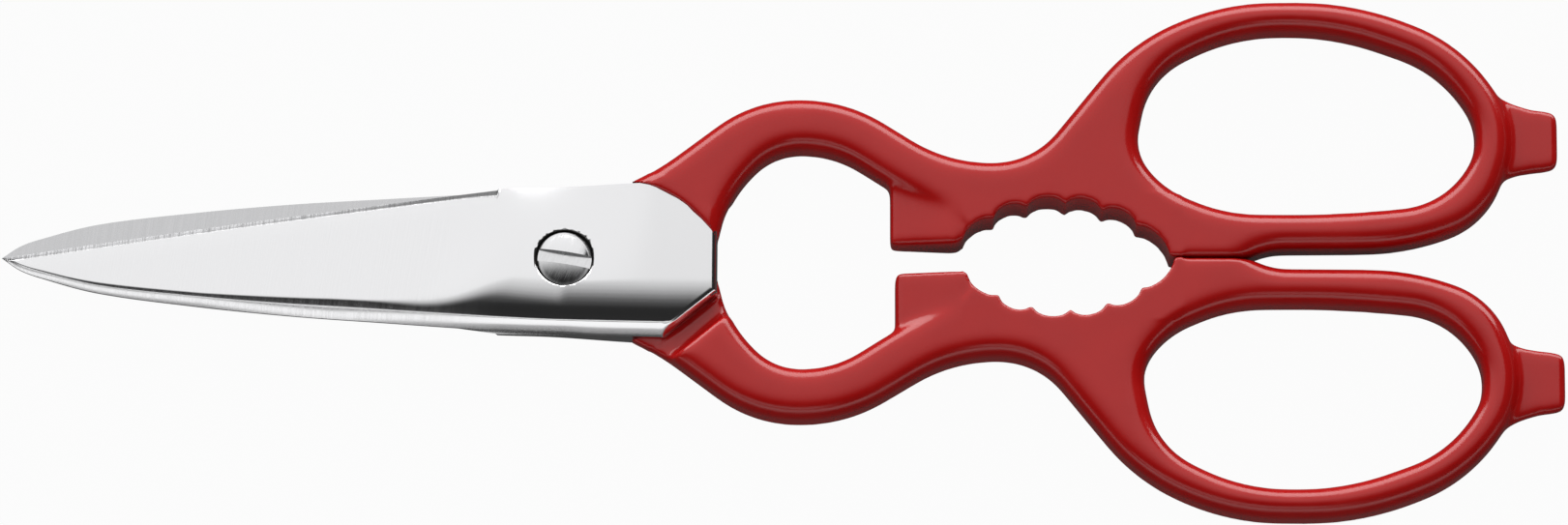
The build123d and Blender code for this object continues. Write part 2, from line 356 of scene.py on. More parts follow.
@dataclass(frozen=True)
class PaintedShadeBoreSteel(Finish):
    """Unpolished steel inside the screw's seat, painted near-black: painted shade that stands in for the
    shadow in the gap round the screw.
    """

    name: str = "bore_painted_shade"
    # Painted shade: these near-black colours stand in for the shade inside the screw's seat.
    deep: Color = (0.03, 0.029, 0.0275, 1.0)
    light: Color = (0.06, 0.058, 0.055, 1.0)
    roughness: Pair = (0.4, 0.6)
    metallic: float = 0.6
    mottle_scale: float = 1500.0

    def build(self) -> Material:
        """Make the material."""
        graph = SurfaceGraph(self.name, self.metallic)
        mottle = graph.noise(graph.stretched((1.0, 1.0, 1.0)), self.mottle_scale, detail=2.0)
        return graph.dressed(
            graph.tint(mottle, self.deep, self.light), graph.ramp(mottle, *self.limits, *self.roughness)
        )


@dataclass(frozen=True)
class ScratchedSteel(Finish):
    """Polished steel of the screw, with fine scratches in one direction."""

    name: str = "screw_steel"
    color: Color = (0.78, 0.78, 0.79, 1.0)
    roughness: Pair = (0.11, 0.28)
    limits: Pair = (0.4, 0.7)
    scratch_scale: Triple = (9000.0, 500.0, 500.0)
    scratch_turn: float = 28.0
    scratch_strength: float = 0.5
    scratch_depth: float = 0.003 * MM
    centre: Triple = (PIVOT[0] * MM, 0.0, 0.0)

    def build(self) -> Material:
        """Make the material."""
        graph = SurfaceGraph(self.name, self.metallic)
        along = graph.stretched(self.scratch_scale, self.scratch_turn, self.centre)
        scratches = graph.noise(along, 1.0, detail=2.0)
        relief = graph.bump(scratches, self.scratch_strength, self.scratch_depth)
        return graph.dressed(self.color, graph.ramp(scratches, *self.limits, *self.roughness), relief)


def eased_min(first: float, second: float, blend: float) -> float:
    """The lower of two heights, with a soft turn where they differ by less than the blend."""
    gap = abs(first - second)
    low = min(first, second)
    return low if gap >= blend else low - (blend - gap) ** 2 / (4 * blend)


def step(low: float, high: float, value: float) -> float:
    """A soft step from 0 at low to 1 at high."""
    share = min(max((value - low) / (high - low), 0.0), 1.0)
    return share * share * (3 - 2 * share)


def flowing_height(points: Pairs, x: float) -> float:
    """Height at x of a smooth curve through points sorted by x.

    Args:
        points: The points as (x, y).
        x: Where to read the curve.

    Returns:
        The curve's y.
    """
    last = len(points) - 1
    index = max(i for i in range(last) if points[i][0] <= x or i == 0)
    (x0, y0), (x1, y1) = points[index], points[index + 1]
    before = points[max(index - 1, 0)]
    after = points[min(index + 2, last)]
    width = x1 - x0
    leaving = (y1 - before[1]) / (x1 - before[0]) * width
    arriving = (after[1] - y0) / (after[0] - x0) * width
    t = min(max((x - x0) / width, 0.0), 1.0)
    return (
        (2 * t**3 - 3 * t**2 + 1) * y0
        + (t**3 - 2 * t**2 + t) * leaving
        + (3 * t**2 - 2 * t**3) * y1
        + (t**3 - t**2) * arriving
    )


def straight_height(points: Pairs, x: float) -> float:
    """Height at x of straight runs between points sorted by x."""
    for (x0, y0), (x1, y1) in zip(points, points[1:]):
        if x <= x1:
            return y0 + (y1 - y0) * (x - x0) / (x1 - x0)
    return points[-1][1]


def settled(piece: Object) -> Mesh:
    """Apply a piece's modifiers, and return the new mesh that it then has."""
    seen = piece.evaluated_get(bpy.context.evaluated_depsgraph_get())
    mesh = bpy.data.meshes.new_from_object(seen)
    piece.modifiers.clear()
    piece.data = mesh
    return mesh


def shown(name: str, shape: BMesh) -> Object:
    """Put a form into the scene as a named piece, and free the form."""
    mesh = bpy.data.meshes.new(name)
    shape.to_mesh(mesh)
    shape.free()
    piece = bpy.data.objects.new(name, mesh)
    bpy.context.scene.collection.objects.link(piece)
    return piece


def framed(shape: BMesh, at: Iterable[float]) -> None:
    """Bring a form in mm to a place in the shears' frame."""
    bmesh.ops.translate(shape, verts=shape.verts, vec=at)
    bmesh.ops.scale(shape, verts=shape.verts, vec=(MM, MM, MM))


def rims(shape: BMesh) -> list[BMEdge]:
    """The edges that have a face on one side only."""
    return [edge for edge in shape.edges if edge.is_boundary]


def carve(piece: Object, cutter: Object) -> None:
    """Take the cutter's form out of a piece, and the cutter out of the scene.

    Args:
        piece: The piece to cut.
        cutter: A closed form.
    """
    cut = piece.modifiers.new("cut", "BOOLEAN")
    cut.operation = "DIFFERENCE"
    cut.solver = "MANIFOLD"
    cut.object = cutter
    settled(piece)
    bpy.data.objects.remove(cutter)


@dataclass(frozen=True)
class Section:
    """A cross-section of the blade: its place, its two edges, its spine line and that line's lean.

    The bevel along the spine rises over its width from its foot to its shelf, where the rounding starts.
    The cutting bevel ends at the crease, which is measured from the upper edge.
    """

    x: float
    low: float
    high: float
    line: float
    lean: float
    bevel: float
    shelf: float
    foot: float
    crease: float


@dataclass
class ForgedHalf:
    """One forging: blade, boss and the steel inside its handle. Lengths in mm about the pivot."""

    node: str
    body: Body
    turned_over: bool
    lean_degrees: float
    bore: tuple[Triple, ...]
    top: float = 3.5
    reach: float = 19.5
    corner: Pair = (12.8, -9.8)
    end_half_width: float = 4.25
    end_round: float = 0.9
    tip_x: float = -72.0
    heel: Pair = (-8.5, 9.4)
    belly: float = 0.25
    spine_points: Pairs = (
        (-72.0, 0.0), (-69.77, -1.519), (-67.25, -2.499), (-59.83, -4.498), (-47.52, -6.145),
        (-35.14, -7.35), (-22.68, -8.183), (-10.37, -8.967), (0.0, -9.555), (12.8, -9.8),
    )
    flank_points: Pairs = ((-8.5, 9.4), (9.5, 9.75), (16.0, 8.4), (19.5, 4.25))
    probe: float = 0.1
    heel_edge_thickness: float = 0.9
    heel_spine_thickness: float = 2.7
    spine_ground_height: float = 7.5
    tip_thickness: float = 0.9
    plunge_x: float = -17.1
    plunge_radius: float = 30.0
    plunge_skew_degrees: float = -20.0
    plunge_blend: float = 0.8
    round_width: float = 5.4
    round_drop: float = 1.15
    round_blend: float = 0.06
    boss_round_blend: float = 0.5
    blend_change: Pair = (-28.0, -12.0)
    bevel_bulge: float = 0.25
    bevel_widths: Pairs = (
        (-72.0, 0.6), (-30.0, 1.42), (-8.0, 1.45), (4.0, 1.6), (19.5, 1.6),
    )
    shelf_heights: Pairs = (
        (-72.0, 0.92), (-64.0, 1.22), (-46.5, 1.62), (-29.0, 1.8), (-10.0, 2.1), (0.0, 2.35), (19.5, 2.35),
    )
    foot_heights: Pairs = ((-72.0, 0.5), (-10.0, 0.6), (19.5, 0.6))
    cutting_slope: float = 1.2
    edge_flat: float = 0.05
    cutting_bevel: float = 0.5
    crease_rounds: int = 6
    crease_share: float = 0.3
    crease_least: float = 0.01
    hollow: float = 0.2
    hollow_end_x: float = -10.5
    hollow_run: float = 1.0
    flank_width: float = 14.0
    flank_edge: float = 1.0
    flank_start_x: float = -4.0
    flank_end_x: float = 12.0
    station_runs: tuple[Triple, ...] = (
        (-72.0, -66.0, 0.2), (-66.0, -24.0, 0.5), (-24.0, -6.0, 0.25), (-6.0, 12.0, 0.5),
        (12.0, 17.5, 0.25), (17.5, 19.5, 0.08),
    )
    rows: int = 120
    bevel_rows: int = 6
    row_bunching: float = 0.7
    weld: float = 0.0005
    inner_normal_z: float = -0.7
    core_gap: float = 0.1

    def stations(self) -> list[float]:
        """Places along the blade, closer together where its form turns fast."""
        places = []
        for begin, finish, gap in self.station_runs:
            count = round((finish - begin) / gap)
            places += [begin + (finish - begin) * i / count for i in range(count)]
        return places + [self.reach]

    def spine(self, x: float) -> float:
        """The lower edge of the outline at x."""
        if x > self.corner[0]:
            return straight_height((self.corner, (self.reach, -self.end_half_width)), x)
        return flowing_height(self.spine_points, x)

    def edge(self, x: float) -> float:
        """The upper edge of the outline at x: cutting edge, then the flank of the boss."""
        if x > self.heel[0]:
            return straight_height(self.flank_points, x)
        share = (x - self.tip_x) / (self.heel[0] - self.tip_x)
        return self.heel[1] * share + 4 * self.belly * share * (1 - share)

    def ground(self, x: float, y: float) -> float:
        """Height of the ground flat and of its plunge at a point.

        Args:
            x: Place along the blade.
            y: Place across it.

        Returns:
            The height, a plunge's radius over the flat where the plunge has ended.
        """
        width = self.heel[1] + self.spine_ground_height
        across = (self.heel_edge_thickness - self.heel_spine_thickness) / width
        at_heel = self.heel_edge_thickness - across * self.heel[1]
        along = (at_heel - self.tip_thickness) / (self.heel[0] - self.tip_x)
        flat = self.tip_thickness + along * (x - self.tip_x) + across * y
        skew = math.radians(self.plunge_skew_degrees)
        into = (x - self.plunge_x) * math.cos(skew) + y * math.sin(skew)
        if into <= 0:
            return flat
        if into >= self.plunge_radius:
            return flat + self.plunge_radius
        return flat + self.plunge_radius - math.sqrt(self.plunge_radius**2 - into**2)

    def rounding(self, cut: Section, distance: float) -> float:
        """Height of the rounded spine at a distance from its edge."""
        if distance < cut.bevel:
            share = distance / cut.bevel
            risen = (1 + self.bevel_bulge) * share - self.bevel_bulge * share**2
            return cut.foot + (cut.shelf - cut.foot) * risen
        radius = (self.round_width**2 + self.round_drop**2) / (2 * self.round_drop)
        left = max(cut.bevel + self.round_width - distance, 0.0)
        return cut.shelf + self.round_drop - radius + math.sqrt(radius**2 - left**2)

    def flank(self, x: float, inward: float) -> float:
        """Height of the boss, which falls away towards the heel, at a distance from its upper side."""
        if inward > self.flank_width:
            return self.top
        drop = (self.top - self.flank_edge) * (1 - step(self.flank_start_x, self.flank_end_x, x))
        return self.top - drop * (1 - inward / self.flank_width) ** 2

    def crease(self, x: float) -> float:
        """Distance from the cutting edge at which its bevel meets the ground flat."""
        if x >= self.heel[0]:
            return self.cutting_bevel
        width = self.cutting_bevel
        for _ in range(self.crease_rounds):
            width = (self.ground(x, self.edge(x) - width) - self.edge_flat) / self.cutting_slope
        return min(width, self.crease_share * (self.edge(x) - self.spine(x)) + self.crease_least)

    def section(self, x: float) -> Section:
        """The cross-section at x."""
        line = flowing_height(self.spine_points, min(x, self.corner[0]))
        behind = flowing_height(self.spine_points, min(x, self.corner[0]) - self.probe)
        lean = math.cos(math.atan((line - behind) / self.probe))
        bevel = straight_height(self.bevel_widths, x)
        shelf = straight_height(self.shelf_heights, x)
        foot = straight_height(self.foot_heights, x)
        return Section(x, self.spine(x), self.edge(x), line, lean, bevel, shelf, foot, self.crease(x))

    def outer(self, cut: Section, y: float) -> float:
        """Height of the outer face at a point of a section.

        Args:
            cut: The section.
            y: Place across it.

        Returns:
            The height over the plane between the halves.
        """
        x = cut.x
        softness = self.round_blend + self.boss_round_blend * step(*self.blend_change, x)
        body = self.flank(x, cut.high - y)
        body = eased_min(body, self.ground(x, y), self.plunge_blend) if x < 0 else body
        rounded = self.rounding(cut, (y - cut.line) * cut.lean)
        body = eased_min(body, rounded, softness) if x < 0 else min(body, rounded)
        if x < self.heel[0]:
            body = min(body, self.edge_flat + self.cutting_slope * (cut.high - y))
        if x > self.corner[0]:
            start, finish = Vector(self.corner), Vector((self.reach, -self.end_half_width))
            run = (finish - start).normalized()
            away = (Vector((x, y)) - start).dot(Vector((-run.y, run.x)))
            rim = min(away, self.reach - x)
            if rim < self.end_round:
                squared = self.end_round**2 - (self.end_round - rim) ** 2
                body -= self.end_round - math.sqrt(max(squared, 0.0))
        return max(body, self.edge_flat)

    def inner(self, cut: Section, y: float) -> float:
        """Height of the inner face at a point of a section."""
        x = cut.x
        angle = math.atan2(self.heel[1], self.heel[0] - self.tip_x)
        inward = (x - self.tip_x) * math.sin(angle) - y * math.cos(angle)
        depth = self.hollow * max(inward - self.cutting_bevel, 0.0) / (-2 * self.corner[1])
        return depth * (1 - step(self.hollow_end_x, self.hollow_end_x + self.hollow_run, x))

    def blank(self) -> BMesh:
        """Model blade and boss from a grid, whose last rows of faces are the cutting bevel.

        Returns:
            A closed form in mm about the pivot.
        """
        places = self.stations()
        columns = len(places) - 1
        shape = bmesh.new()
        bmesh.ops.create_grid(shape, x_segments=columns, y_segments=self.rows, size=0.5)
        made = bmesh.ops.extrude_edge_only(shape, edges=rims(shape))["geom"]
        under = [part for part in made if isinstance(part, BMVert)]
        bmesh.ops.translate(shape, verts=under, vec=(0.0, 0.0, -1.0))
        bmesh.ops.contextual_create(shape, geom=rims(shape))
        sections = [self.section(x) for x in places]
        for vert in shape.verts:
            cut = sections[round((vert.co.x + 0.5) * columns)]
            row = (vert.co.y + 0.5) * self.rows
            wide = self.rows - self.bevel_rows
            if row > wide + 0.5:
                y = cut.high - cut.crease * (self.rows - row) / self.bevel_rows
            else:
                share = row / wide
                share -= self.row_bunching * math.sin(2 * math.pi * share) / (2 * math.pi)
                y = cut.low + (cut.high - cut.crease - cut.low) * share
            height = self.inner if vert.co.z < -0.5 else self.outer
            vert.co = (cut.x, y, height(cut, y))
        bmesh.ops.remove_doubles(shape, verts=shape.verts, dist=self.weld)
        bmesh.ops.recalc_face_normals(shape, faces=shape.faces)
        if shape.calc_volume(signed=True) < 0:
            bmesh.ops.reverse_faces(shape, faces=shape.faces)
        for face in shape.faces:
            place = face.calc_center_median()
            beside = self.edge(min(place.x, self.reach)) - place.y
            if face.normal.z < self.inner_normal_z:
                face.material_index = Face.INNER
            elif beside < self.crease(place.x) and place.x < self.heel[0]:
                face.material_index = Face.BEVEL
        return shape

    def placed(self, shape: BMesh) -> None:
        """Lean the blade, turn it over if it is the back one, and bring it to the shears' frame."""
        turns = [Matrix.Rotation(math.radians(-self.lean_degrees), 3, "Z")]
        if self.turned_over:
            turns.append(Matrix.Rotation(math.pi, 3, "X"))
        for turn in turns:
            bmesh.ops.rotate(shape, verts=shape.verts, cent=(0, 0, 0), matrix=turn)
        framed(shape, PIVOT)

    def bored(self, piece: Object, materials: tuple[Material, ...]) -> None:
        """Bore the piece for the screw.

        Args:
            piece: Blade and boss.
            materials: The piece's materials, in the order of Face.
        """
        for radius, low, high in self.bore:
            tool = bmesh.new()
            bmesh.ops.create_cone(
                tool, cap_ends=True, segments=ROUND_STEPS, radius1=radius * MM, radius2=radius * MM,
                depth=(high - low) * MM,
            )
            middle = Vector(PIVOT) + Vector((0, 0, (low + high) / 2))
            bmesh.ops.translate(tool, verts=tool.verts, vec=middle * MM)
            # The bore's faces take the steel with painted shade.
            for face in tool.faces:
                face.material_index = Face.BORE
            cutter = shown("bore", tool)
            for material in materials:
                cutter.data.materials.append(material)
            carve(piece, cutter)

    def core(self, shape: BMesh) -> None:
        """Add the steel that the coating hides, taken from the CAD node behind the boss.

        Args:
            shape: Blade and boss, in the shears' frame.
        """
        hidden = bmesh.new()
        hidden.from_mesh(bpy.data.objects[self.node].data)
        bmesh.ops.remove_doubles(hidden, verts=hidden.verts, dist=CAD_WELD)
        start = (PIVOT[0] + self.reach + self.core_gap) * MM
        bmesh.ops.bisect_plane(
            hidden, geom=hidden.verts[:] + hidden.edges[:] + hidden.faces[:], plane_co=(start, 0, 0),
            plane_no=(1, 0, 0), clear_inner=True,
        )
        bmesh.ops.holes_fill(hidden, edges=rims(hidden))
        spare = bpy.data.meshes.new("core")
        hidden.to_mesh(spare)
        hidden.free()
        shape.from_mesh(spare)
        bpy.data.meshes.remove(spare)

    def build(self, *materials: Material) -> Object:
        """Model and dress the forging.

        Args:
            materials: Its steels, in the order of Face.

        Returns:
            The piece.
        """
        shape = self.blank()
        self.placed(shape)
        piece = shown(f"{self.node}_steel", shape)
        for material in materials:
            piece.data.materials.append(material)
        self.bored(piece, materials)
        whole = bmesh.new()
        whole.from_mesh(piece.data)
        self.core(whole)
        for face in whole.faces:
            face.smooth = True
        whole.to_mesh(piece.data)
        whole.free()
        piece.data.set_sharp_from_angle(angle=math.radians(SHARP_DEGREES))
        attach(piece, self.body.value)
        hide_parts(self.node)
        return piece


@dataclass
class HandleCoating:
    """The red coating over one handle, with every edge softened as a dipped coat is.

    Lengths are in mm about the pivot, or in metres in the shears' frame where they are times MM. The
    side is 1 for the upper handle and -1 for the lower one. The teeth lie between two places along the
    shears, and closer to their middle line than the third number.
    """

    node: str
    steel: str
    body: Body
    side: float
    mismatch: float = 0.0
    middle: float = PIVOT[2] * MM
    grain: float = 0.27 * MM
    passes: int = 26
    crisp_passes: int = 3
    smoothing: float = 0.5
    teeth: Triple = (23.0 * MM, 51.0 * MM, 8.4 * MM)
    corner_half: float = 3.8 * MM
    tab_half: float = 1.28 * MM
    jaw_corner: Pairs = (
        (49.0, 1.82), (50.2, 1.82), (50.8, 2.2), (51.2, 3.2), (51.6, 4.1), (52.2, 4.8), (52.6, 5.6),
        (49.0, 6.5),
    )
    tab_flares: tuple[Pairs, ...] = (
        ((118.5, 19.0), (119.1, 21.9), (120.7, 21.0), (121.9, 20.5), (123.2, 20.1), (124.5, 19.7),
         (124.5, 19.0)),
        ((118.0, 12.5), (117.6, 9.6), (119.2, 10.35), (120.8, 11.0), (122.6, 11.6), (124.5, 12.0),
         (124.5, 12.8)),
    )
    grip_x: float = 63.95
    cusps: Pairs = (
        (54.7, 5.13), (59.0, 6.65), (63.95, 7.1), (68.7, 6.2), (73.1, 4.2),
    )
    cusp_lean: float = 0.35
    cusp_rise: float = 0.22
    cusp_foot: float = 0.6
    cusp_half_width: float = 1.0
    valley: tuple[Pair, Pair] = ((12.8, -9.8), (19.5, -4.25))
    valley_width: float = 3.0
    valley_margin: float = 1.0
    valley_slope: float = 0.14
    valley_start: Pair = (-2.0, 0.5)
    valley_end: Pair = (8.5, 10.5)
    valley_top: Pair = (1.4, 2.6)
    crisp_rim: float = 1.6 * MM
    rim_overlap: float = 0.05 * MM
    bare_margin: float = 2 * MM
    coat_centre: Pair = (-22.55 * MM, -6.2 * MM)
    coat_radius: float = 16.6 * MM

    def rim_distance(self, place: Vector) -> float:
        """How far a point lies outside the circle where the coating starts."""
        flat = Vector((place.x, place.y * self.side))
        return (flat - Vector(self.coat_centre)).length - self.coat_radius

    def form(self) -> BMesh:
        """Model coating and steel as one soft form.

        Returns:
            The handle with soft edges, and part of the boss.
        """
        shape = bmesh.new()
        for name in (self.node, self.steel):
            shape.from_mesh(bpy.data.objects[name].data)
        bmesh.ops.remove_doubles(shape, verts=shape.verts, dist=CAD_WELD)
        self.additions(shape)
        piece = shown("form", shape)
        grain = piece.modifiers.new("grain", "REMESH")
        grain.mode = "VOXEL"
        grain.voxel_size = self.grain
        mesh = settled(piece)
        soft = bmesh.new()
        soft.from_mesh(mesh)
        bpy.data.objects.remove(piece)
        bare = [vert for vert in soft.verts if vert.co.x < self.coat_centre[0] - self.bare_margin]
        bmesh.ops.delete(soft, geom=bare, context="VERTS")
        for passes, verts in self.softened(soft):
            for _ in range(passes):
                bmesh.ops.smooth_vert(
                    soft, verts=verts, factor=self.smoothing, use_axis_x=True, use_axis_y=True,
                    use_axis_z=True,
                )
        return soft

    def prism(self, shape: BMesh, points: Iterable[Pair], half: float) -> None:
        """Add an upright prism to the form.

        Args:
            shape: The form.
            points: Its outline, in mm about the pivot, for the upper handle.
            half: Half its height.
        """
        verts = []
        for x, y in points:
            place = ((x + self.mismatch + PIVOT[0]) * MM, y * MM * self.side, self.middle - half)
            verts += bmesh.ops.create_vert(shape, co=place)["vert"]
        flat = bmesh.ops.contextual_create(shape, geom=verts)["faces"]
        made = bmesh.ops.extrude_face_region(shape, geom=flat, use_keep_orig=True)["geom"]
        top = [part for part in made if isinstance(part, BMVert)]
        bmesh.ops.translate(shape, verts=top, vec=(0.0, 0.0, 2 * half))

    def additions(self, shape: BMesh) -> None:
        """Add the jaw's corner, the flared root of the tab and the points of the teeth.

        Args:
            shape: The form.
        """
        self.prism(shape, self.jaw_corner, self.corner_half)
        for flare in self.tab_flares:
            self.prism(shape, flare, self.tab_half)
        centre = Vector((self.grip_x, 0.0))
        for x, y in self.cusps:
            cusp = Vector((x, y))
            inward = Vector((self.cusp_lean * (centre.x - x), -y)).normalized()
            along = Vector((-inward.y, inward.x))
            tip = cusp + self.cusp_rise * inward
            base = cusp - self.cusp_foot * inward
            sides = (base + self.cusp_half_width * along, base - self.cusp_half_width * along)
            self.prism(shape, (tip, *sides), self.corner_half)
        bmesh.ops.recalc_face_normals(shape, faces=shape.faces)

    def sloped(self, soft: BMesh) -> None:
        """Let the valley beside the boss fall away towards the shoulder.

        Args:
            soft: The coating.
        """
        start, finish = Vector(self.valley[0]), Vector(self.valley[1])
        run = (finish - start).normalized()
        for vert in soft.verts:
            place = Vector((vert.co.x / MM - PIVOT[0], vert.co.y * self.side / -MM))
            away = (place - start).dot(Vector((run.y, -run.x)))
            along = (place - start).dot(run)
            height = (vert.co.z - self.middle) / (-self.side * MM)
            if 0 < away < self.valley_width + self.valley_margin and height > 0:
                share = step(*self.valley_start, along) * (1 - step(*self.valley_end, along))
                share *= 1 - step(*self.valley_top, height)
                vert.co.z += self.side * self.valley_slope * min(away, self.valley_width) * share * MM

    def softened(self, soft: BMesh) -> list[tuple[int, list[BMVert]]]:
        """How often each part of the surface is smoothed: less where the teeth and the rim are crisp.

        Args:
            soft: The form.

        Returns:
            Numbers of passes with the vertices that they smooth, one after the other.
        """
        every = soft.verts[:]
        dull = []
        for vert in every:
            in_teeth = self.teeth[0] < vert.co.x < self.teeth[1] and abs(vert.co.y) < self.teeth[2]
            if not in_teeth and self.rim_distance(vert.co) > self.crisp_rim:
                dull.append(vert)
        return [(self.crisp_passes, every), (self.passes - self.crisp_passes, dull)]

    def trimmed(self, soft: BMesh) -> None:
        """Take off what is bare steel, bring the rim to its circle and close the form.

        Args:
            soft: The form.
        """
        bare = []
        for face in soft.faces:
            place = face.calc_center_median()
            if self.rim_distance(place) < -self.rim_overlap or place.x < self.coat_centre[0]:
                bare.append(face)
        bmesh.ops.delete(soft, geom=bare, context="FACES")
        rim = [vert for vert in soft.verts if vert.is_boundary]
        centre = Vector(self.coat_centre)
        for vert in rim:
            flat = Vector((vert.co.x, vert.co.y * self.side)) - centre
            flat = centre + flat.normalized() * self.coat_radius
            vert.co.x, vert.co.y = flat.x, flat.y * self.side
        bmesh.ops.holes_fill(soft, edges=rims(soft))
        bmesh.ops.recalc_face_normals(soft, faces=soft.faces)

    def build(self, material: Material) -> Object:
        """Model and dress the coating.

        Args:
            material: Its plastic.

        Returns:
            The piece.
        """
        soft = self.form()
        self.trimmed(soft)
        self.sloped(soft)
        for face in soft.faces:
            face.smooth = True
        piece = shown(f"{self.node}_skin", soft)
        piece.data.materials.append(material)
        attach(piece, self.body.value)
        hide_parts(self.node)
        return piece


@dataclass
class PivotScrew:
    """The slotted screw that holds the halves together."""

    node: str = "pivot_screw"
    body: Body = Body.BACK
    head_radius: float = 3.45
    shank_radius: float = 2.5
    crown: float = 3.0
    shoulder: float = 2.35
    seat: float = 1.2
    end: float = -3.5
    edge_round: float = 0.08
    slot_width: float = 1.6
    slot_floor: float = 1.8
    slot_height: float = 2.0
    slot_degrees: float = -8.9
    dome_steps: int = 8
    round_steps: int = 6
    weld: float = 0.001

    def profile(self) -> list[Pair]:
        """Half of the screw's section, from the middle of its crown to the middle of its end."""
        rise = self.crown - self.shoulder
        flat = self.head_radius - self.edge_round
        steps = self.dome_steps
        dome = [(flat * i / steps, self.crown - rise * (i / steps) ** 2) for i in range(steps + 1)]
        turn = []
        for i in range(1, self.round_steps + 1):
            angle = math.radians(90 / self.round_steps * i)
            drop = self.edge_round * (1 - math.cos(angle))
            turn.append((flat + self.edge_round * math.sin(angle), self.shoulder - drop))
        small = self.edge_round
        return dome + turn + [
            (self.head_radius, self.seat), (self.shank_radius, self.seat),
            (self.shank_radius, self.end + small), (self.shank_radius - small, self.end), (0.0, self.end),
        ]

    def slotted(self, piece: Object) -> None:
        """Cut the slot across the head."""
        tool = bmesh.new()
        bmesh.ops.create_cube(tool, size=1.0)
        size = (3 * self.head_radius, self.slot_width, self.slot_height)
        bmesh.ops.scale(tool, verts=tool.verts, vec=size)
        turn = Matrix.Rotation(math.radians(self.slot_degrees), 3, "Z")
        bmesh.ops.rotate(tool, verts=tool.verts, cent=(0, 0, 0), matrix=turn)
        middle = Vector(PIVOT) + Vector((0, 0, self.slot_floor + size[2] / 2))
        framed(tool, middle)
        carve(piece, shown("slot", tool))

    def build(self, material: Material) -> Object:
        """Model and dress the screw.

        Args:
            material: Its steel.

        Returns:
            The piece.
        """
        shape = bmesh.new()
        profile = self.profile()
        corners = [shape.verts.new((radius, 0.0, height)) for radius, height in profile]
        edges = [shape.edges.new(pair) for pair in zip(corners, corners[1:])]
        bmesh.ops.spin(
            shape, geom=corners + edges, cent=(0, 0, 0), axis=(0, 0, 1), dvec=(0, 0, 0), angle=2 * math.pi,
            steps=ROUND_STEPS, use_merge=True,
        )
        bmesh.ops.remove_doubles(shape, verts=shape.verts, dist=self.weld)
        bmesh.ops.recalc_face_normals(shape, faces=shape.faces)
        framed(shape, PIVOT)
        piece = shown("slotted_screw", shape)
        self.slotted(piece)
        for face in piece.data.polygons:
            face.use_smooth = True
        piece.data.set_sharp_from_angle(angle=math.radians(SHARP_DEGREES))
        piece.data.materials.clear()
        piece.data.materials.append(material)
        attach(piece, self.body.value)
        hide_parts(self.node)
        return piece


@dataclass(frozen=True)
class Softbox:
    """A flat lamp: its brightness, its distance and what it spans as seen from the shears.

    Low and high are angles from straight up towards +Y. Left and right are angles towards +X.
    """

    name: str
    low_degrees: float
    high_degrees: float
    glow: float
    left_degrees: float = -72.0
    right_degrees: float = 30.0
    distance: float = 2.2


